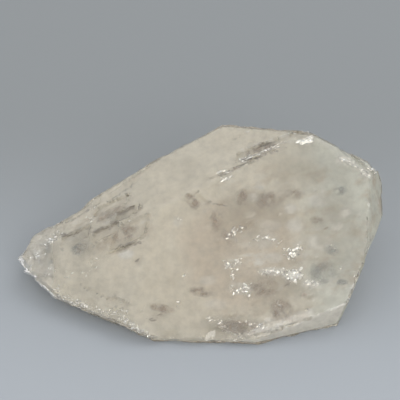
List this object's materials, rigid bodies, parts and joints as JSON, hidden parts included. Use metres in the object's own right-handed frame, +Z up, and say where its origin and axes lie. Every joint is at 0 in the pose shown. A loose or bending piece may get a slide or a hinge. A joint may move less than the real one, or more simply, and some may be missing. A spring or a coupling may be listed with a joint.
{
  "type": "topaz crystal",
  "caption": "Rough, pale champagne topaz crystal with flat growth faces and a splintered, tapering end, lying on one face.",
  "frame": {"origin": "under the middle of the crystal, on the surface that it lies on", "axes": "+X from the splintered tip to the finished end, +Y from the front to the back, +Z up"},
  "size_m": [0.0644, 0.0376, 0.0232],
  "materials": {
    "topaz": "semi-gloss"
  },
  "bodies": {
    "root": {"topaz_crystal": "topaz"}
  },
  "joints": []
}
